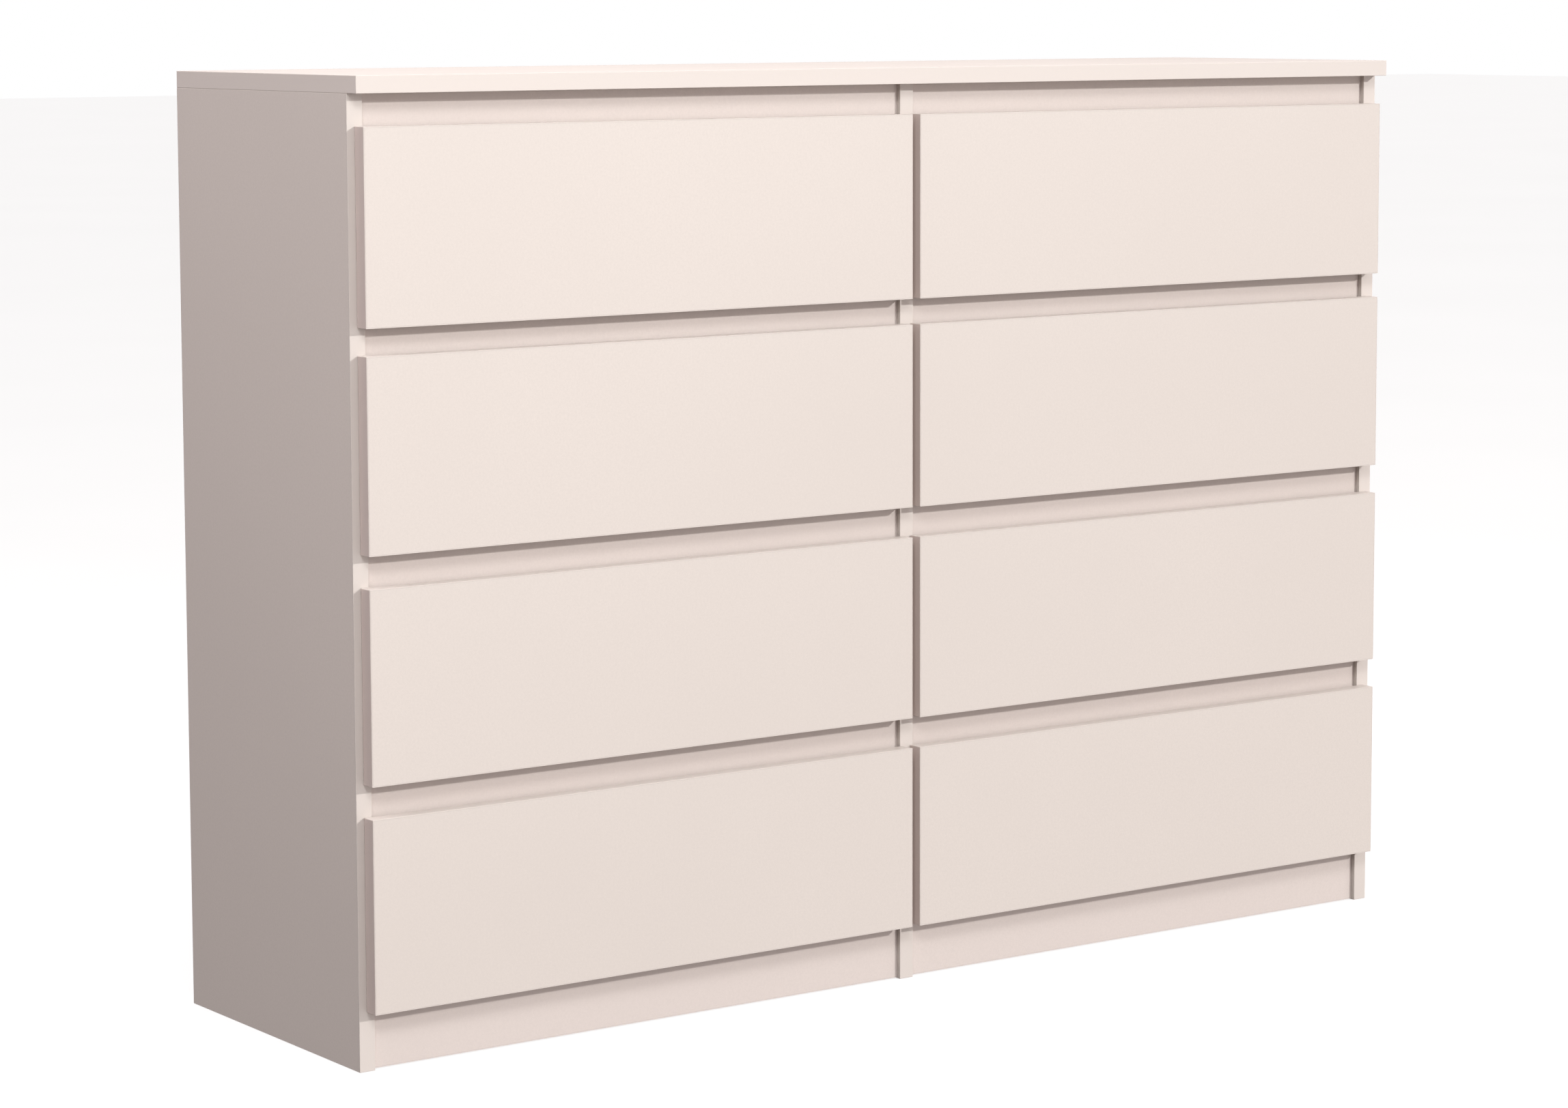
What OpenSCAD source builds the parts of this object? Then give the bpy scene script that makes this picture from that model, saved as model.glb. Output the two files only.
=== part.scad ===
// Low wide dresser with eight handle-less drawers in two columns of four.
// Millimetres. Origin on the floor under the middle of the object, +Z up, drawer fronts face -Y.

/* [Overall size] */
// Width over the side panels
body_w = 1400; // [1000:10:2000]
// Height from the floor to the top surface
body_h = 1016; // [840:1:1300]
// Depth from the top panel's front edge to the rear of the back panels
body_d = 388.5; // [340:0.5:600]

/* [Carcass] */
// Thickness of the laminated boards of the carcass and the drawer fronts
board_t = 18; // [16:1:25]
// Thickness of the hardboard backs and drawer bottoms
hardboard_t = 3; // [2.5:0.5:4]
// Overhang of the top panel in front of the side panels
top_overhang = 19.5; // [0:0.5:40]
// How far the rails and plinths stand behind the side panels' front edges
rail_recess = 5; // [1:0.5:15]
// How far a rail reaches behind the drawer fronts above and below its gap
rail_overlap = 12; // [8:0.5:14]
// Clearance under the plinths
plinth_lift = 1; // [0:0.5:5]
// How far a back panel stays inside the outline of the carcass
back_inset = 2; // [1:0.5:5]

/* [Drawer fronts] */
// Height of the lowest drawer fronts' bottom edge above the floor
front_lift = 62; // [50:1:100]
// Finger gap between two drawer fronts
finger_gap = 33.5; // [25:0.5:45]
// Finger gap under the top row of drawers
upper_gap = 28; // [25:0.5:45]
// Finger gap between the top row and the top panel
top_gap = 33; // [25:0.5:45]
// Set-back of the outer end of a front from the carcass side
front_reveal = 8.5; // [0:0.5:16]
// Gap between the fronts of the two columns
column_gap = 10; // [2:0.5:16]
// Air between a closed front and the carcass
front_standoff = 0.3; // [0.2:0.1:2]

/* [Drawer boxes] */
// Thickness of a drawer's sides and back
box_t = 12; // [12:1:16]
// Air between a drawer side and the rail under it
box_underroom = 13; // [10:1:20]
// Air between a drawer side and the rail above it
box_headroom = 25; // [10:1:60]
// Space behind a closed drawer box
box_rear_space = 13; // [6:1:30]
// Height of the bottom's groove above the bottom edge of the sides
groove_lift = 8; // [6:0.5:12]
// Depth of the bottom's groove
groove_depth = 6; // [4:0.5:8]
// Play of a drawer bottom in its groove
groove_play = 0.2; // [0.1:0.1:0.5]

/* [Roller runners] */
// Room for one runner between the cabinet and the drawer side
runner_space = 12.5; // [12.5:0.5:16]
// Thickness of the runners' steel
steel_t = 1.2; // [1:0.1:1.5]
// Set-back of the cabinet profile from the side panels' front edges
channel_setback = 3; // [2:0.5:10]
// Radius of a nylon wheel
wheel_r = 9; // [8:0.1:12]
// Air above a drawer's wheel in the cabinet profile
wheel_headroom = 1.2; // [0.5:0.1:2]
// Radius of a wheel's steel pin
pin_r = 2; // [1.5:0.1:2.5]
// Radial running clearance of a wheel on its pin
wheel_play = 0.05; // [0.02:0.01:0.1]
// Length of a drawer box that stays in the cabinet when the drawer is open
drawer_hold = 93; // [70:1:150]

/* [Fasteners] */
// Wood left between the fasteners that enter the partition from both faces
partition_web = 2; // [1:0.5:4]
// Radius of a beech dowel
dowel_r = 4; // [3:0.5:4]
// Length of a beech dowel
dowel_l = 30; // [25:1:40]
// Radius of a cam
cam_r = 7.5; // [6:0.5:7.5]
// Distance of a cam from the end of its board
cam_reach = 24; // [18:1:34]
// Radius of a cam bolt
cam_bolt_r = 3; // [2.5:0.1:3]
// Radius of the shank of a runner screw in the cabinet
runner_screw_r = 3; // [2:0.1:3]
// Radius of the small screws in the drawers and the back panels
drawer_screw_r = 1.8; // [1.5:0.1:2]
// Radius of the long screws that hold a drawer's back
back_screw_r = 2.5; // [2:0.1:3]
// Length of the screws that hold the back panels
panel_screw_l = 16; // [12:1:25]
// Number of screws along a back panel's upright edges
panel_screw_rows = 7; // [4:1:10]

/* [Hidden] */
$fn = 48;
COLUMNS = ["left", "right"];
ROWS = [1, 2, 3, 4];

laminate = "#cfc3ba";
white_board = "#efeeea";
white_hardboard = "#f4f3f0";
coated_steel = "#b9bbbd";
zinc = "#a9abae";
nylon = "#f2f2ee";
beech = "#d8b98a";

cut = 1;
half_w = body_w / 2;
top_front_y = -body_d / 2;
carcass_front_y = top_front_y + top_overhang;
back_y = body_d / 2;
carcass_back_y = back_y - hardboard_t;
carcass_d = carcass_back_y - carcass_front_y;
side_h = body_h - board_t;
opening_w = (body_w - 3 * board_t) / 2;
column_x = (opening_w + board_t) / 2;

// rails, bottom and plinth
rail_y = carcass_front_y + rail_recess;
rail_mid_y = rail_y + board_t / 2;
front_h = (side_h - top_gap - upper_gap - 2 * finger_gap - front_lift) / 4;
plinth_top = front_lift + rail_overlap;
bottom_z = plinth_top - board_t;
back_seam = 1;
bottom_y = rail_y + board_t;
bottom_d = carcass_back_y - bottom_y;
front_w = (body_w - 2 * front_reveal - column_gap) / 2;
front_back_y = carcass_front_y - front_standoff;
plinth_joint_z = (plinth_lift + bottom_z) / 2;

// drawer boxes
box_lift = rail_overlap + box_underroom;
box_h = front_h - box_lift - rail_overlap - box_headroom;
box_w = opening_w - 2 * runner_space;
box_l = carcass_back_y - box_rear_space - front_back_y;
box_inner_w = box_w - 2 * box_t;
box_rear_y = front_back_y + box_l;
back_board_y = box_rear_y - box_t;
groove_h = hardboard_t + groove_play;
back_board_z = groove_lift + groove_h;
bottom_play = 0.5;
back_board_play = 0.1;

// runner section, measured inwards from the cabinet side and upwards from the drawer side's edge
profile_x = runner_space - steel_t;
flange_end = profile_x - 1.8;
cabinet_wheel_x = steel_t + 1;
wheel_end_x = profile_x - 2.1;
drawer_wheel_x = steel_t + 1.8;
pin_head_r = pin_r + 1.2;
pin_head_t = 0.8;
wheel_side_play = 0.1;
rolling_gap = 0.05;
collar_r = pin_r + 1;
flange_gap = 0.9;
channel_h = 2 * (wheel_r + steel_t) + wheel_headroom;
drawer_flange_z = channel_h + flange_gap;
cabinet_wheel_z = drawer_flange_z - wheel_r - rolling_gap;
drawer_wheel_z = steel_t + wheel_r + rolling_gap;
channel_y = carcass_front_y + channel_setback;
channel_l = carcass_back_y - box_rear_space / 2 - channel_y;
cabinet_wheel_y = channel_y + wheel_r + 6;
wheel_slot_l = 2 * wheel_r + 12;
drawer_profile_y = front_back_y + 2;
drawer_profile_l = box_rear_y - drawer_profile_y;
drawer_wheel_y = box_rear_y - wheel_r - 2.5;
drawer_flange_l = drawer_profile_l - 2 * wheel_r - 8;
drawer_travel = box_l - drawer_hold;
stop_drop = 4.4;
stop_t = 1.2;
stop_gap = 0.5;
stop_z = channel_h - steel_t - stop_drop;
stop_reach = sqrt(pow(wheel_r, 2) - pow(stop_z - drawer_wheel_z, 2));
stop_y = drawer_wheel_y - drawer_travel - stop_reach - stop_gap - stop_t;
channel_screws_y = [channel_y + 45, channel_y + channel_l - 60];
channel_screw_z = channel_h / 2;
profile_screws_y = [drawer_profile_y + 30, drawer_profile_y + drawer_profile_l - 60];
profile_screw_z = (back_board_z + drawer_flange_z) / 2;
profile_screw_l = box_t - 1;
screw_head = 1.15;
screw_play = 0.05;

// cam fittings and dowels
grip = (board_t - partition_web) / 2;
cam_h = board_t - 5.5;
cam_play = 0.1;
bolt_bore_r = cam_bolt_r + 1;
fitting_pitch = 10;
panel_fitting_y = 70;
box_cam_r = 6;
box_cam_h = box_t - 3;
box_bolt_r = 2.5;
box_cams_z = [35, box_h - 30];
back_screws_z = [35, box_h - 25];
back_screw_l = box_t + 26;
front_grip = 10;
bottom_screw_l = 16;
panel_screw_edges_x = [(back_seam + board_t) / 4, half_w - board_t / 2];
panel_screw_edges_z = [bottom_z + board_t / 2, body_h - board_t / 2];

function column_side(column) = column == "left" ? -1 : 1;
function front_z(row) = front_lift + (4 - row) * (front_h + finger_gap)
    - (row == 1 ? finger_gap - upper_gap : 0);
function box_z(row) = front_z(row) + box_lift;
function gap_h(row) = row == 1 ? top_gap : row == 2 ? upper_gap : finger_gap;
// the rail above a row: the top one ends at the top panel
function rail_z(row) = front_z(row) + front_h - rail_overlap;
function rail_h(row) = gap_h(row) + (row == 1 ? rail_overlap : 2 * rail_overlap);
function rail_mid_z(row) = rail_z(row) + rail_h(row) / 2;

// ---- placing -------------------------------------------------------------

module in_columns() {
    for (column = COLUMNS) translate([column_side(column) * column_x, 0, 0]) children();
}

// both ends of a board between the uprights, as a joint face that the board leaves along +X
module at_board_ends() {
    for (end = [-1, 1])
        translate([end * opening_w / 2, 0, 0]) mirror([end == 1 ? 1 : 0, 0, 0]) children();
}

// the two runner sides of a column, with +X from the cabinet side towards the drawer
module at_runner_sides() {
    at_board_ends() children();
}

// dowel and cam change places in one column, so that the partition's holes stay apart
module swapped(column) {
    mirror([0, column == "left" ? 1 : 0, 0]) children();
}

// the butt joints' centres, with +X into the board and +Z out of the face that takes the cams
module at_rail_joints(column) {
    for (row = ROWS)
        translate([column_side(column) * column_x, rail_mid_y, rail_mid_z(row)])
            at_board_ends() rotate([-90, 0, 0]) swapped(column) children();
}

module at_plinth_joints(column) {
    translate([column_side(column) * column_x, rail_mid_y, plinth_joint_z])
        at_board_ends() rotate([-90, 0, 0]) swapped(column) children();
}

module at_bottom_joints(column) {
    for (y = [bottom_y + panel_fitting_y, carcass_back_y - panel_fitting_y])
        translate([column_side(column) * column_x, y, bottom_z + board_t / 2])
            at_board_ends() mirror([0, 0, 1]) swapped(column) children();
}

// an upright's joints with the top panel, with +X down into the upright and +Z to the right
module at_top_joints(x) {
    for (y = [carcass_front_y + panel_fitting_y, carcass_back_y - panel_fitting_y])
        translate([x, y, side_h]) rotate([0, 90, 0]) children();
}

module at_all_top_joints() {
    at_top_joints(-half_w + board_t / 2) children();
    at_top_joints(0) children();
    at_top_joints(half_w - board_t / 2) mirror([0, 0, 1]) children();
}

module at_column_joints(column) {
    at_rail_joints(column) children();
    at_plinth_joints(column) children();
    at_bottom_joints(column) children();
}

module at_every_joint() {
    for (column = COLUMNS) at_column_joints(column) children();
    at_all_top_joints() children();
}

module at_runners(columns = COLUMNS, rows = ROWS) {
    for (column = columns, row = rows)
        translate([column_side(column) * column_x, 0, box_z(row)]) at_runner_sides() children();
}

// ---- fasteners -----------------------------------------------------------

module along_x(r, from, to) {
    translate([from, 0, 0]) rotate([0, 90, 0]) cylinder(r = r, h = to - from);
}

// a countersunk screw driven along +X, its head flush at x = 0
module screw_body(r, length, head) {
    rotate([0, 90, 0]) cylinder(r1 = r + head, r2 = r, h = head);
    along_x(r, head, length);
}

module screw(r, length, head = screw_head) {
    recess = r * 0.9;
    difference() {
        screw_body(r, length, head);
        for (turn = [0, 90])
            rotate([turn, 0, 0])
                translate([-cut, -recess, -recess / 4]) cube([cut + head / 2, 2 * recess, recess / 2]);
    }
}

module dowel() {
    translate([0, -fitting_pitch, 0]) along_x(dowel_r, -grip, dowel_l - grip);
}

module cam_bolt(r, face_grip, reach) {
    along_x(r, -face_grip, reach - r);
}

module cam(r, height, bolt_r, reach, thickness) {
    slot_w = 1.6;
    slot_depth = 3;
    difference() {
        translate([reach, 0, thickness / 2 - height]) cylinder(r = r, h = height);
        along_x(bolt_r + cam_play, 0, reach);
        translate([reach - r * 0.7, -slot_w / 2, thickness / 2 - slot_depth])
            cube([r * 1.4, slot_w, slot_depth + cut]);
    }
}

module cam_cuts(r, height, bolt_r, bore_r, face_grip, reach, thickness) {
    translate([reach, 0, thickness / 2 - height]) cylinder(r = r, h = height + cut);
    along_x(bore_r, 0, reach);
    along_x(bolt_r, -face_grip, 0);
}

module carcass_cam() {
    translate([0, fitting_pitch, 0]) {
        cam_bolt(cam_bolt_r, grip, cam_reach);
        cam(cam_r, cam_h, cam_bolt_r, cam_reach, board_t);
    }
}

module carcass_joint_cuts() {
    dowel();
    translate([0, fitting_pitch, 0])
        cam_cuts(cam_r, cam_h, cam_bolt_r, bolt_bore_r, grip, cam_reach, board_t);
}

// round the edge of each back panel, with +X into the board in front of it
module at_panel_screws() {
    x0 = panel_screw_edges_x[0];
    x1 = panel_screw_edges_x[1];
    z0 = panel_screw_edges_z[0];
    z1 = panel_screw_edges_z[1];
    upright_edges = [for (x = [x0, x1], i = [0:panel_screw_rows - 1])
        [x, z0 + (z1 - z0) * i / (panel_screw_rows - 1)]];
    level_edges = [for (z = [z0, z1], part = [1, 2, 3] / 4) [x0 + (x1 - x0) * part, z]];
    for (column = COLUMNS, place = concat(upright_edges, level_edges))
        translate([column_side(column) * place[0], back_y, place[1]]) rotate([0, 0, -90]) children();
}

module panel_screw_holes() {
    at_panel_screws() screw_body(drawer_screw_r, panel_screw_l, screw_head);
}

// ---- runners -------------------------------------------------------------

module at_channel_screws() {
    for (y = channel_screws_y) translate([steel_t, y, channel_screw_z]) rotate([0, 0, 180]) children();
}

module at_profile_screws() {
    for (y = profile_screws_y) translate([profile_x, y, profile_screw_z]) children();
}

module cabinet_runner() {
    difference() {
        union() {
            translate([0, channel_y, 0]) cube([steel_t, channel_l, channel_h]);
            translate([0, channel_y, 0]) cube([flange_end, channel_l, steel_t]);
            translate([0, channel_y + wheel_slot_l, channel_h - steel_t])
                cube([flange_end, channel_l - wheel_slot_l, steel_t]);
            translate([0, stop_y, stop_z]) cube([flange_end, stop_t, stop_drop + steel_t]);
            translate([0, cabinet_wheel_y, cabinet_wheel_z]) {
                along_x(collar_r, 0, cabinet_wheel_x - wheel_side_play);
                along_x(pin_r, 0, wheel_end_x + wheel_side_play + pin_head_t);
                along_x(pin_head_r, wheel_end_x + wheel_side_play,
                        wheel_end_x + wheel_side_play + pin_head_t);
            }
        }
        at_channel_screws() screw_body(runner_screw_r, grip + steel_t, screw_head);
    }
}

module drawer_runner() {
    difference() {
        union() {
            translate([profile_x, drawer_profile_y, -steel_t])
                cube([steel_t, drawer_profile_l, drawer_flange_z + 2 * steel_t]);
            translate([profile_x, drawer_profile_y, -steel_t])
                cube([steel_t + box_t, drawer_profile_l, steel_t]);
            translate([drawer_wheel_x, drawer_profile_y, drawer_flange_z])
                cube([profile_x + steel_t - drawer_wheel_x, drawer_flange_l, steel_t]);
            translate([0, drawer_wheel_y, drawer_wheel_z]) {
                along_x(collar_r, wheel_end_x + wheel_side_play, runner_space);
                along_x(pin_r, drawer_wheel_x - wheel_side_play - pin_head_t, runner_space);
                along_x(pin_head_r, drawer_wheel_x - wheel_side_play - pin_head_t,
                        drawer_wheel_x - wheel_side_play);
            }
        }
        at_profile_screws() screw_body(drawer_screw_r + screw_play, profile_screw_l, screw_head);
    }
}

// a nylon wheel with a shallow hub recess and a dished rim
module wheel(from, to) {
    rim = 1.6;
    dish = 0.6;
    hub_r = pin_r + 2.2;
    rotate([0, 90, 0]) rotate_extrude() polygon([
        [pin_r + wheel_play, from],
        [hub_r, from],
        [hub_r, from + dish],
        [wheel_r - rim, from + dish],
        [wheel_r - rim, from],
        [wheel_r - dish / 2, from],
        [wheel_r, from + dish / 2],
        [wheel_r, to - dish / 2],
        [wheel_r - dish / 2, to],
        [wheel_r - rim, to],
        [wheel_r - rim, to - dish],
        [hub_r, to - dish],
        [hub_r, to],
        [pin_r + wheel_play, to]
    ]);
}

// ---- carcass -------------------------------------------------------------

module top_panel() color(laminate) difference() {
    translate([-half_w, top_front_y, side_h]) cube([body_w, body_d - hardboard_t, board_t]);
    at_all_top_joints() carcass_joint_cuts();
    panel_screw_holes();
}

module upright(x, columns) {
    difference() {
        translate([x - board_t / 2, carcass_front_y, 0]) cube([board_t, carcass_d, side_h]);
        for (column = columns) {
            at_column_joints(column) carcass_joint_cuts();
            at_runners([column]) at_channel_screws()
                screw_body(runner_screw_r, grip + steel_t, screw_head);
        }
        at_all_top_joints() carcass_joint_cuts();
        panel_screw_holes();
    }
}

module side_panel_left() color(laminate) upright(-half_w + board_t / 2, ["left"]);

module side_panel_right() color(laminate) upright(half_w - board_t / 2, ["right"]);

module centre_partition() color(laminate) upright(0, COLUMNS);

module bottom_panels() color(laminate) difference() {
    in_columns() translate([-opening_w / 2, bottom_y, bottom_z]) cube([opening_w, bottom_d, board_t]);
    for (column = COLUMNS) at_bottom_joints(column) carcass_joint_cuts();
    panel_screw_holes();
}

module plinths() color(laminate) difference() {
    in_columns() translate([-opening_w / 2, rail_y, plinth_lift])
        cube([opening_w, board_t, plinth_top - plinth_lift]);
    for (column = COLUMNS) at_plinth_joints(column) carcass_joint_cuts();
}

module front_rails() color(laminate) difference() {
    in_columns() for (row = ROWS)
        translate([-opening_w / 2, rail_y, rail_z(row)]) cube([opening_w, board_t, rail_h(row)]);
    for (column = COLUMNS) at_rail_joints(column) carcass_joint_cuts();
}

// two hardboard sheets that meet behind the partition
module back_panels() color(white_hardboard) difference() {
    sheet_w = half_w - back_inset - back_seam / 2;
    for (column = COLUMNS)
        translate([column_side(column) * (back_seam + sheet_w) / 2 - sheet_w / 2, carcass_back_y, bottom_z])
            cube([sheet_w, hardboard_t, body_h - back_inset - bottom_z]);
    panel_screw_holes();
}

module cabinet_runners() color(coated_steel) at_runners() cabinet_runner();

module carcass_screws() color(zinc) {
    at_runners() at_channel_screws() screw(runner_screw_r, grip + steel_t);
    at_panel_screws() screw(drawer_screw_r, panel_screw_l);
}

module beech_dowels() color(beech) at_every_joint() dowel();

module cam_fittings() color(zinc) at_every_joint() carcass_cam();

// ---- drawers -------------------------------------------------------------

module at_drawer(column, row) {
    translate([column_side(column) * column_x, 0, box_z(row)]) children();
}

// both sides of a drawer box, with +X from the side's outer face to its inner face
module at_box_sides() {
    at_board_ends() translate([runner_space, 0, 0]) children();
}

// cams in the sides' inner faces pull the box against the front
module at_box_cams() {
    at_box_sides() for (z = box_cams_z)
        translate([box_t / 2, front_back_y, z]) rotate([0, 0, 90]) rotate([90, 0, 0]) children();
}

module at_back_screws() {
    at_box_sides() for (z = back_screws_z) translate([0, back_board_y + box_t / 2, z]) children();
}

module at_bottom_screws() {
    for (x = [-1, 0, 1] * box_inner_w / 3)
        translate([x, back_board_y + box_t / 2, groove_lift]) rotate([0, -90, 0]) children();
}

module box_cam_cuts() {
    cam_cuts(box_cam_r, box_cam_h, box_bolt_r, box_bolt_r + 0.5, front_grip, cam_reach, box_t);
}

module bottom_sheet(play) {
    sheet_w = box_inner_w + 2 * groove_depth - 2 * play;
    translate([-sheet_w / 2, front_back_y - groove_depth + play, groove_lift])
        cube([sheet_w, box_rear_y - front_back_y + groove_depth - play, hardboard_t]);
}

module groove() {
    groove_w = box_inner_w + 2 * groove_depth;
    translate([-groove_w / 2, front_back_y - groove_depth, groove_lift])
        cube([groove_w, box_l + groove_depth + cut, groove_h]);
}

module drawer_front(column, row) color(laminate) difference() {
    translate([column_side(column) * (front_w + column_gap) / 2 - front_w / 2,
               front_back_y - board_t, front_z(row)])
        cube([front_w, board_t, front_h]);
    at_drawer(column, row) {
        groove();
        at_box_cams() box_cam_cuts();
    }
}

module box_sides() difference() {
    at_box_sides() translate([0, front_back_y, 0]) cube([box_t, box_l, box_h]);
    groove();
    at_box_cams() box_cam_cuts();
    at_back_screws() screw_body(back_screw_r, back_screw_l, screw_head);
    at_runner_sides() at_profile_screws() screw_body(drawer_screw_r, profile_screw_l, screw_head);
}

module box_back() difference() {
    back_board_w = box_inner_w - 2 * back_board_play;
    translate([-back_board_w / 2, back_board_y, back_board_z])
        cube([back_board_w, box_t, box_h - back_board_z]);
    at_back_screws() screw_body(back_screw_r, back_screw_l, screw_head);
    at_bottom_screws() screw_body(drawer_screw_r, bottom_screw_l, screw_head);
}

module drawer_box(column, row) color(white_board) at_drawer(column, row) {
    box_sides();
    box_back();
}

module drawer_bottom(column, row) color(white_hardboard) at_drawer(column, row) difference() {
    bottom_sheet(bottom_play);
    at_bottom_screws() screw_body(drawer_screw_r, bottom_screw_l, screw_head);
}

module drawer_runners(column, row) color(coated_steel) at_drawer(column, row) {
    at_runner_sides() {
        drawer_runner();
        at_profile_screws() screw(drawer_screw_r, profile_screw_l);
    }
    at_box_cams() {
        cam_bolt(box_bolt_r, front_grip, cam_reach);
        cam(box_cam_r, box_cam_h, box_bolt_r, cam_reach, box_t);
    }
    at_back_screws() screw(back_screw_r, back_screw_l);
    at_bottom_screws() screw(drawer_screw_r, bottom_screw_l);
}

module drawer_wheels(column, row) color(nylon) at_drawer(column, row) at_runner_sides()
    translate([0, drawer_wheel_y, drawer_wheel_z]) wheel(drawer_wheel_x, wheel_end_x);

module cabinet_wheels(column, row) color(nylon) at_drawer(column, row) at_runner_sides()
    translate([0, cabinet_wheel_y, cabinet_wheel_z]) wheel(cabinet_wheel_x, wheel_end_x);

// ---- nodes ---------------------------------------------------------------

top_panel();
side_panel_left();
side_panel_right();
centre_partition();
bottom_panels();
plinths();
front_rails();
back_panels();
cabinet_runners();
carcass_screws();
beech_dowels();
cam_fittings();
for (column = COLUMNS, row = ROWS) {
    drawer = str("drawer_", column, "_", row, "_");
    drawer_front(column, row);
    drawer_box(column, row);
    drawer_bottom(column, row);
    drawer_runners(column, row);
    drawer_wheels(column, row);
    cabinet_wheels(column, row);
}
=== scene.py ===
"""Looks of the dresser: materials, edge rounding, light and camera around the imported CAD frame."""
import math

import bpy
from mathutils import Matrix, Vector


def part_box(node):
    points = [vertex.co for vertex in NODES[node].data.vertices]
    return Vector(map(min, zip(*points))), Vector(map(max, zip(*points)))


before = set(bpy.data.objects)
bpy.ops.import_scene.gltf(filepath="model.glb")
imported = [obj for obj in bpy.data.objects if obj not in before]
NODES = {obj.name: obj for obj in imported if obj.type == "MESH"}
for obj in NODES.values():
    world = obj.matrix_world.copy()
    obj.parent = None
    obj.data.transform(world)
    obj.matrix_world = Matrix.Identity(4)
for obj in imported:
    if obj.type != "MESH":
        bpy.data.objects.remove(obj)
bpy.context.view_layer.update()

COLUMNS = ("left", "right")
ROWS = (1, 2, 3, 4)
MM = 0.001
X, Y, Z = 0, 1, 2

# ---- numbers that the looks are tuned by ---------------------------------------
# The ends of the fronts are tinted darker as painted shade, and the boards set back behind them lighter as
# painted light, both tuned to the lighting.
CASHMERE = (0.618, 0.559, 0.517)
BAND = (0.629, 0.571, 0.532)
# painted shade: darker colour for the end faces of the fronts
END_BAND_PAINTED_SHADE = (0.560, 0.478, 0.443)
# painted light: a lighter copy of the cashmere for the boards set back behind the fronts
RECESS_PAINTED_LIGHT = (0.642, 0.569, 0.532)
RAW_BOARD = (0.47, 0.335, 0.20)
RAW_FIBRE = (0.215, 0.125, 0.066)
FOIL_DARK, FOIL_LIGHT = (0.735, 0.727, 0.700), (0.775, 0.768, 0.742)
FOIL_PORE = (0.66, 0.65, 0.62)
LACQUER_DARK, LACQUER_LIGHT = (0.735, 0.725, 0.70), (0.775, 0.768, 0.745)
STEEL_DARK, STEEL_LIGHT = (0.335, 0.343, 0.350), (0.375, 0.382, 0.390)
STEEL_SCUFF = (0.50, 0.50, 0.50)
ZINC_DARK, ZINC_LIGHT = (0.53, 0.54, 0.56), (0.66, 0.66, 0.67)
ZINC_GRAIN = (0.42, 0.42, 0.43)
NYLON_DARK, NYLON_LIGHT = (0.77, 0.765, 0.735), (0.84, 0.835, 0.81)
BEECH_DARK, BEECH_LIGHT = (0.50, 0.335, 0.19), (0.66, 0.49, 0.31)
BEECH_PORE = (0.33, 0.20, 0.105)
FLOOR_DARK, FLOOR_LIGHT = (0.27, 0.27, 0.27), (0.29, 0.29, 0.29)

# thickness of an edge band, how far its joint line fades out, and how far wear reaches in from an edge
BAND_T = 1.0 * MM
SEAM_CORE, SEAM_EDGE = 0.04 * MM, 0.22 * MM
ARRIS = 1.2 * MM

BOARD_ROUNDING = 0.5 * MM
FRONT_ROUNDING = 0.6 * MM
WELD_GAP = 0.01 * MM
SHARP = math.radians(40)
BOARD_IOR = 1.47

# name: (place, aimed at, size in x and y, watts, colour)
LIGHTS = {
    "key_right": ((6.36, -9.44, 4.74), (0, -0.2, 0.5), (0.5, 0.5), 790, (1.0, 1.0, 0.985)),
    "fill_left": ((-4.40, -3.88, 2.25), (0, -0.2, 0.5), (0.3, 0.3), 27, (1.0, 0.97, 0.97)),
    "overhead": ((-0.4, -0.3, 3.4), (-0.4, -0.3, 0), (3.0, 2.0), 34, (1.0, 1.0, 1.0)),
    "side_wash": ((-3.6, 0, 3.0), (-0.7, 0, 0.8), (1.5, 1.5), 58, (1.0, 0.91, 0.94)),
    "front_wash": ((-2.1, -3.0, 3.2), (-0.3, 0, 0.8), (2.0, 1.0), 80, (1.0, 1.02, 1.03)),
}
SKY = (1.22, 1.14, 1.13)
BACKDROP = 1.0
FLOOR_GLOW = 0.72
FLOOR_HALF = 40.0
FLOOR_DROP = 0.2 * MM

CAMERA_PLACE = (-2.7355, -3.7837, 1.0884)
CAMERA_YAW, CAMERA_PITCH, CAMERA_ROLL = (math.radians(angle) for angle in (35.45, 6.14, -0.17))
SENSOR_WIDTH, LENS, SHIFT_Y = 36.0, 94.68, -0.07
CLIP_NEAR, CLIP_FAR = 0.1, 200.0


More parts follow.
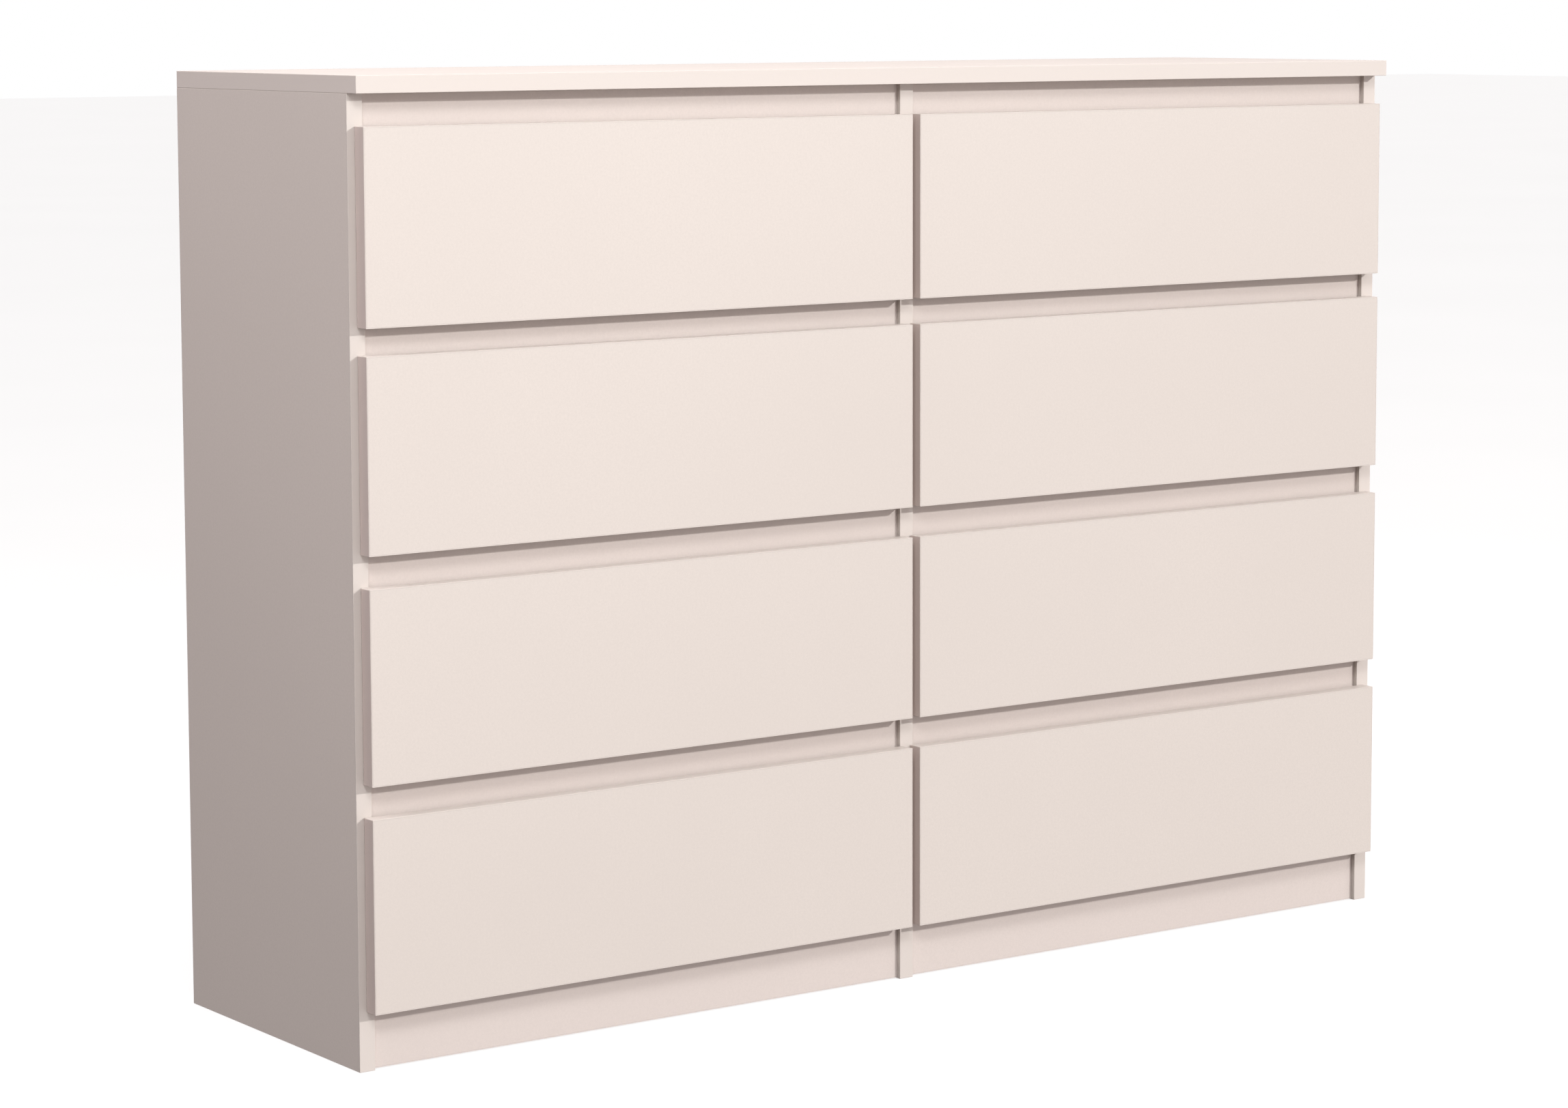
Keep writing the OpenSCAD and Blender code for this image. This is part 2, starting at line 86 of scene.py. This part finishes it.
# ---- node helpers ----------------------------------------------------------------
class Shader:
    """A material's node tree with short calls for the nodes used here."""

    def __init__(self, name):
        self.material = bpy.data.materials.new(name)
        self.material.use_nodes = True
        self.tree = self.material.node_tree
        self.tree.nodes.clear()
        self.bsdf = self.node("ShaderNodeBsdfPrincipled")
        out = self.node("ShaderNodeOutputMaterial")
        self.link(self.bsdf.outputs["BSDF"], out.inputs["Surface"])
        self.place = self.node("ShaderNodeTexCoord").outputs["Object"]
        self.normal = self.node("ShaderNodeNewGeometry").outputs["Normal"]

    def node(self, kind, **settings):
        made = self.tree.nodes.new(kind)
        for key, value in settings.items():
            setattr(made, key, value)
        return made

    def link(self, a, b):
        self.tree.links.new(a, b)

    def put(self, value, socket):
        if isinstance(value, bpy.types.NodeSocket):
            self.link(value, socket)
        else:
            socket.default_value = value

    def math(self, operation, a, b=0.0, clamp=False):
        made = self.node("ShaderNodeMath", operation=operation, use_clamp=clamp)
        for value, socket in zip((a, b), made.inputs):
            self.put(value, socket)
        return made.outputs[0]

    def xyz(self, vector):
        made = self.node("ShaderNodeSeparateXYZ")
        self.link(vector, made.inputs[0])
        return made.outputs

    def stretched(self, scale):
        made = self.node("ShaderNodeMapping")
        self.link(self.place, made.inputs["Vector"])
        made.inputs["Scale"].default_value = scale
        return made.outputs[0]

    def noise(self, scale, detail=3.0, rough=0.5, vector=None, warp=0.0):
        made = self.node("ShaderNodeTexNoise")
        self.link(vector or self.place, made.inputs["Vector"])
        made.inputs["Scale"].default_value = scale
        made.inputs["Detail"].default_value = detail
        made.inputs["Roughness"].default_value = rough
        made.inputs["Distortion"].default_value = warp
        return made.outputs["Fac"]

    def cells(self, scale):
        made = self.node("ShaderNodeTexVoronoi")
        self.link(self.place, made.inputs["Vector"])
        made.inputs["Scale"].default_value = scale
        return made.outputs["Distance"]

    def span(self, value, low, high, to_low=0.0, to_high=1.0):
        made = self.node("ShaderNodeMapRange", clamp=True)
        self.put(value, made.inputs["Value"])
        for key, number in (("From Min", low), ("From Max", high), ("To Min", to_low), ("To Max", to_high)):
            made.inputs[key].default_value = number
        return made.outputs[0]

    def spread(self, noise, to_low=0.0, to_high=1.0):
        """Stretches the 0.3 to 0.7 that nearly all of a noise lies in to the whole of the wanted range."""
        return self.span(noise, 0.3, 0.7, to_low, to_high)

    def mix(self, factor, a, b):
        made = self.node("ShaderNodeMix", data_type="RGBA")
        for value, socket in zip((factor, a, b), (made.inputs[0], made.inputs[6], made.inputs[7])):
            self.put(tuple(value) + (1.0,) if isinstance(value, tuple) else value, socket)
        return made.outputs[2]

    def bump(self, height, strength, distance):
        made = self.node("ShaderNodeBump")
        made.inputs["Strength"].default_value = strength
        made.inputs["Distance"].default_value = distance
        self.link(height, made.inputs["Height"])
        return made.outputs[0]

    def finish(self, colour, roughness, normal=None, **uniform):
        self.put(colour, self.bsdf.inputs["Base Color"])
        self.put(roughness, self.bsdf.inputs["Roughness"])
        if normal:
            self.link(normal, self.bsdf.inputs["Normal"])
        for key, value in uniform.items():
            self.bsdf.inputs[key.replace("_", " ")].default_value = value
        return self.material


def tint(colour, factor):
    return tuple(c * factor for c in colour)


def chipboard(s):
    """The cut face of bare chipboard: how much chip shows, and its colour."""
    chip = s.spread(s.noise(330.0, 4.0, 0.7))
    return chip, s.mix(chip, tint(RAW_BOARD, 0.62), tint(RAW_BOARD, 1.25))


# ---- materials -------------------------------------------------------------------
def laminate(name, low, high, face, banded, raw, tone=CASHMERE):
    """Cashmere melamine on chipboard. low and high are the board's corners, face is the axis its thickness
    runs along, banded the axes whose ends carry an edge band, raw the directions left as bare chipboard, and
    tone the colour of its faces."""
    s = Shader(name)
    at, facing = s.xyz(s.place), s.xyz(s.normal)
    cloud = s.noise(2.1, 4.0, 0.55)
    fine = s.noise(950.0, 2.0, 0.6)
    pearl = s.noise(420.0, 3.0, 0.62, warp=0.4)
    fleck = s.cells(300.0)
    colour = s.mix(s.spread(cloud), tint(tone, 0.98), tint(tone, 1.02))
    colour = s.mix(s.span(pearl, 0.40, 0.66, 0.0, 0.6), colour, tint(tone, 0.93))
    colour = s.mix(s.span(fine, 0.35, 0.7, 0.0, 0.5), colour, tint(tone, 0.94))
    colour = s.mix(s.span(fleck, 0.12, 0.02, 0.0, 0.5), colour, tint(tone, 1.10))
    rough = s.span(s.math("ADD", cloud, s.math("MULTIPLY", pearl, 0.5)), 0.5, 1.0, 0.46, 0.56)

    # distance from the nearest banded end, and the joint line between band and face
    edge = None
    for axis in banded:
        a = s.math("SUBTRACT", at[axis], low[axis])
        b = s.math("SUBTRACT", high[axis], at[axis])
        nearest = s.math("MINIMUM", a, b)
        edge = s.math("MINIMUM", edge, nearest) if edge else nearest
    on_face = s.span(s.math("ABSOLUTE", facing[face]), 0.6, 0.9)
    seam = s.math("ABSOLUTE", s.math("SUBTRACT", edge, BAND_T))
    seam = s.math("MULTIPLY", s.span(seam, SEAM_CORE, SEAM_EDGE, 1.0, 0.0), on_face)
    arris = s.math("MULTIPLY", s.span(edge, 0.0, ARRIS, 1.0, 0.0), on_face)
    wear = s.math("MULTIPLY", arris, s.span(s.noise(38.0, 5.0, 0.7), 0.42, 0.72))
    band = s.math("SUBTRACT", 1.0, on_face, clamp=True)
    colour = s.mix(s.math("MULTIPLY", band, 0.8), colour, BAND)
    # painted shade: the end faces of the fronts that look along X get a darker colour, standing in for the
    # shade in the gaps beside them
    if face == Y and X in banded:
        end = s.span(s.math("ABSOLUTE", facing[X]), 0.6, 0.9)
        colour = s.mix(end, colour, s.mix(s.span(fine, 0.35, 0.7), END_BAND_PAINTED_SHADE, tint(END_BAND_PAINTED_SHADE, 0.95)))
    colour = s.mix(s.math("MULTIPLY", wear, 0.35), colour, tint(BAND, 1.09))
    colour = s.mix(s.math("MULTIPLY", seam, 0.45), colour, tint(tone, 0.60))
    rough = s.math("SUBTRACT", rough, s.math("MULTIPLY", band, 0.05))

    # bare chipboard where no band is glued on
    bare = None
    for axis, side in raw:
        one = s.span(s.math("MULTIPLY", facing[axis], float(side)), 0.7, 0.95)
        bare = s.math("MAXIMUM", bare, one) if bare else one
    height = s.math("ADD", s.math("MULTIPLY", pearl, 0.7), s.math("MULTIPLY", fine, 0.3))
    height = s.math("SUBTRACT", height, s.math("MULTIPLY", seam, 2.0))
    if bare:
        chip, board = chipboard(s)
        board = s.mix(s.span(s.cells(260.0), 0.1, 0.6), board, tint(RAW_BOARD, 0.9))
        colour = s.mix(bare, colour, board)
        rough = s.math("MAXIMUM", rough, s.math("MULTIPLY", bare, 0.9))
        height = s.math("ADD", height, s.math("MULTIPLY", s.math("MULTIPLY", chip, bare), 6.0))
    normal = s.bump(height, 0.55, 0.1 * MM)
    return s.finish(colour, rough, normal, IOR=BOARD_IOR)


def white_foil(name):
    """White foil on the drawer boards, with bare chipboard on the faces that look down."""
    s = Shader(name)
    cloud = s.noise(3.0, 4.0, 0.55)
    pores = s.noise(700.0, 3.0, 0.6, vector=s.stretched((1.0, 0.12, 1.0)))
    colour = s.mix(s.spread(cloud), FOIL_DARK, FOIL_LIGHT)
    colour = s.mix(s.span(pores, 0.55, 0.75, 0.0, 0.4), colour, FOIL_PORE)
    bare = s.span(s.xyz(s.normal)[Z], -0.7, -0.95)
    colour = s.mix(bare, colour, chipboard(s)[1])
    rough = s.math("ADD", s.spread(cloud, 0.36, 0.44), s.math("MULTIPLY", bare, 0.45))
    return s.finish(colour, rough, s.bump(pores, 0.25, 0.05 * MM), IOR=BOARD_IOR)


def hardboard(name, axis, lacquered):
    """Lacquered white on the faces that look along lacquered * axis, bare brown fibre everywhere else."""
    s = Shader(name)
    facing = s.xyz(s.normal)
    white = s.span(s.math("MULTIPLY", facing[axis], float(lacquered)), 0.6, 0.9)
    cloud = s.noise(4.0, 5.0, 0.6)
    fibre = s.noise(240.0, 6.0, 0.72, warp=1.2)
    long_fibre = s.noise(90.0, 5.0, 0.75, warp=3.0)
    fleck = s.span(s.cells(170.0), 0.16, 0.04)
    brown = s.mix(s.span(fibre, 0.3, 0.72), tint(RAW_FIBRE, 0.72), tint(RAW_FIBRE, 1.42))
    brown = s.mix(s.span(long_fibre, 0.52, 0.7, 0.0, 0.55), brown, tint(RAW_FIBRE, 1.85))
    brown = s.mix(s.spread(cloud, 0.0, 0.30), brown, tint(RAW_FIBRE, 0.75))
    brown = s.mix(s.math("MULTIPLY", fleck, 0.5), brown, tint(RAW_FIBRE, 2.4))
    lacquer = s.mix(s.spread(cloud), LACQUER_DARK, LACQUER_LIGHT)
    colour = s.mix(white, brown, lacquer)
    rough = s.math("ADD", s.spread(fibre, 0.62, 0.80), s.math("MULTIPLY", white, -0.28))
    height = s.math("MULTIPLY", fibre, s.math("SUBTRACT", 1.15, white))
    return s.finish(colour, rough, s.bump(height, 0.5, 0.1 * MM), IOR=1.5)


def coated_steel(name):
    s = Shader(name)
    peel = s.noise(900.0, 3.0, 0.55)
    cloud = s.noise(9.0, 4.0, 0.6)
    scuff = s.noise(160.0, 5.0, 0.75, vector=s.stretched((1.0, 0.03, 1.0)))
    colour = s.mix(s.spread(cloud), STEEL_DARK, STEEL_LIGHT)
    colour = s.mix(s.span(scuff, 0.60, 0.74, 0.0, 0.6), colour, STEEL_SCUFF)
    rough = s.math("SUBTRACT", s.spread(peel, 0.36, 0.48), s.span(scuff, 0.60, 0.74, 0.0, 0.12))
    return s.finish(colour, rough, s.bump(peel, 0.35, 0.08 * MM), Metallic=0.55)


def bright_zinc(name):
    s = Shader(name)
    grain = s.noise(620.0, 4.0, 0.65)
    cloud = s.noise(70.0, 4.0, 0.6)
    colour = s.mix(s.spread(cloud), ZINC_DARK, ZINC_LIGHT)
    colour = s.mix(s.span(grain, 0.6, 0.8, 0.0, 0.5), colour, ZINC_GRAIN)
    return s.finish(colour, s.spread(grain, 0.24, 0.42), s.bump(grain, 0.3, 0.04 * MM), Metallic=1.0)


def turned_nylon(name):
    s = Shader(name)
    cloud = s.noise(120.0, 4.0, 0.55)
    mould = s.noise(1500.0, 2.0, 0.5)
    colour = s.mix(s.spread(cloud), NYLON_DARK, NYLON_LIGHT)
    rough = s.spread(cloud, 0.34, 0.46)
    return s.finish(colour, rough, s.bump(mould, 0.2, 0.03 * MM), IOR=1.53)


def fluted_beech(name):
    s = Shader(name)
    grain = s.noise(260.0, 5.0, 0.65, vector=s.stretched((0.06, 1.0, 1.0)))
    pore = s.noise(1400.0, 3.0, 0.6, vector=s.stretched((0.08, 1.0, 1.0)))
    colour = s.mix(s.spread(grain), BEECH_DARK, BEECH_LIGHT)
    colour = s.mix(s.span(pore, 0.58, 0.75, 0.0, 0.6), colour, BEECH_PORE)
    return s.finish(colour, s.spread(grain, 0.55, 0.72), s.bump(grain, 0.5, 0.1 * MM))


# ---- finishes on the CAD nodes ---------------------------------------------------
def dress(node, material):
    slots = NODES[node].data.materials
    if not len(slots):
        slots.append(material)
    for index in range(len(slots)):
        slots[index] = material


def round_edges(node, width, segments=2):
    """Small real roundings. The vertices are welded first, because the imported faces don't share any."""
    piece = NODES[node]
    weld = piece.modifiers.new("weld", "WELD")
    weld.merge_threshold = WELD_GAP
    bevel = piece.modifiers.new("rounding", "BEVEL")
    bevel.width = width
    bevel.segments = segments
    bevel.limit_method = "ANGLE"
    bevel.angle_limit = SHARP
    bevel.use_clamp_overlap = False


BOARDS = {
    # node: (axis of its thickness, banded axes, raw directions)
    "top_panel": (Z, (X, Y), ((Y, 1),)),
    "side_panel_left": (X, (Y,), ((Y, 1), (Z, -1))),
    "side_panel_right": (X, (Y,), ((Y, 1), (Z, -1))),
    "centre_partition": (X, (Y,), ((Y, 1), (Z, -1))),
    "bottom_panels": (Z, (Y,), ((Y, 1), (X, 1), (X, -1))),
    "plinths": (Y, (Z,), ((X, 1), (X, -1))),
    "front_rails": (Y, (Z,), ((X, 1), (X, -1))),
}
for node, (face, banded, raw) in BOARDS.items():
    # of these boards, only the plinths and the rails behind the fronts face the front; these get a lighter
    # copy of the cashmere as painted light
    tone = RECESS_PAINTED_LIGHT if face == Y else CASHMERE
    dress(node, laminate(node + "_laminate", *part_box(node), face, banded, raw, tone))
    round_edges(node, BOARD_ROUNDING)
for column in COLUMNS:
    for row in ROWS:
        node = f"drawer_{column}_{row}_front"
        dress(node, laminate(node + "_laminate", *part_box(node), Y, (X, Z), ()))
        round_edges(node, FRONT_ROUNDING, 3)

foil = white_foil("white_foil")
back_sheet = hardboard("back_hardboard", Y, -1)
bottom_sheet = hardboard("bottom_hardboard", Z, 1)
steel = coated_steel("coated_steel")
zinc = bright_zinc("bright_zinc")
nylon = turned_nylon("natural_nylon")
beech = fluted_beech("raw_beech")

dress("back_panels", back_sheet)
dress("cabinet_runners", steel)
dress("carcass_screws", zinc)
dress("cam_fittings", zinc)
dress("beech_dowels", beech)
for column in COLUMNS:
    for row in ROWS:
        drawer = f"drawer_{column}_{row}_"
        dress(drawer + "box", foil)
        dress(drawer + "bottom", bottom_sheet)
        dress(drawer + "runners", steel)
        dress(drawer + "wheels", nylon)
        dress(f"cabinet_wheels_{column}_{row}", nylon)


# ---- floor, light and camera -----------------------------------------------------
def make_floor():
    """It glows as white as the photo's ground. Bounced light doesn't meet it, so its glow lights nothing."""
    s = Shader("pale_floor")
    cloud = s.noise(0.8, 3.0, 0.5)
    colour = s.mix(s.spread(cloud), FLOOR_DARK, FLOOR_LIGHT)
    material = s.finish(colour, 0.9, Emission_Color=(1, 1, 1, 1), Emission_Strength=FLOOR_GLOW)
    corners = ((-1, -1), (1, -1), (1, 1), (-1, 1))
    mesh = bpy.data.meshes.new("floor")
    mesh.from_pydata([(x * FLOOR_HALF, y * FLOOR_HALF, -FLOOR_DROP) for x, y in corners], [], [(0, 1, 2, 3)])
    mesh.materials.append(material)
    floor = bpy.data.objects.new("floor", mesh)
    bpy.context.scene.collection.objects.link(floor)
    floor.visible_diffuse = False
    floor.visible_glossy = False


def make_lights():
    for name, (place, target, size, watts, colour) in LIGHTS.items():
        data = bpy.data.lights.new(name, "AREA")
        data.shape = "RECTANGLE"
        data.size, data.size_y = size
        data.energy = watts
        data.color = colour
        lamp = bpy.data.objects.new(name, data)
        lamp.location = place
        aim = Vector(target) - Vector(place)
        lamp.rotation_mode = "QUATERNION"
        lamp.rotation_quaternion = aim.to_track_quat("-Z", "Y")
        bpy.context.scene.collection.objects.link(lamp)


def make_sky():
    """Soft light that grows towards the right, behind a plain backdrop that only the camera sees."""
    world = bpy.data.worlds.new("studio")
    bpy.context.scene.world = world
    world.use_nodes = True
    tree = world.node_tree
    tree.nodes.clear()
    new, link = tree.nodes.new, tree.links.new
    parts = new("ShaderNodeSeparateXYZ")
    link(new("ShaderNodeTexCoord").outputs["Generated"], parts.inputs[0])
    ramp = new("ShaderNodeMapRange")
    ramp.inputs["From Min"].default_value = -1.0
    link(parts.outputs[0], ramp.inputs["Value"])
    light = new("ShaderNodeBackground")
    light.inputs["Color"].default_value = SKY + (1,)
    link(ramp.outputs[0], light.inputs["Strength"])
    seen = new("ShaderNodeBackground")
    seen.inputs["Color"].default_value = (BACKDROP, BACKDROP, BACKDROP, 1)
    choose = new("ShaderNodeMixShader")
    link(new("ShaderNodeLightPath").outputs["Is Camera Ray"], choose.inputs[0])
    link(light.outputs[0], choose.inputs[1])
    link(seen.outputs[0], choose.inputs[2])
    link(choose.outputs[0], new("ShaderNodeOutputWorld").inputs["Surface"])


def make_camera():
    """Long lens from the front left, a little above the top panel's height."""
    data = bpy.data.cameras.new("camera")
    data.sensor_width = SENSOR_WIDTH
    data.lens = LENS
    data.shift_y = SHIFT_Y
    data.clip_start, data.clip_end = CLIP_NEAR, CLIP_FAR
    data.dof.use_dof = False
    camera = bpy.data.objects.new("camera", data)
    aim = Matrix.Rotation(-CAMERA_YAW, 4, "Z") @ Matrix.Rotation(math.pi / 2 - CAMERA_PITCH, 4, "X")
    turn = aim @ Matrix.Rotation(CAMERA_ROLL, 4, "Z")
    camera.matrix_world = Matrix.Translation(CAMERA_PLACE) @ turn
    bpy.context.scene.collection.objects.link(camera)
    bpy.context.scene.camera = camera


make_floor()
make_lights()
make_sky()
make_camera()
bpy.context.scene.view_settings.view_transform = "Standard"
bpy.context.scene.view_settings.look = "None"
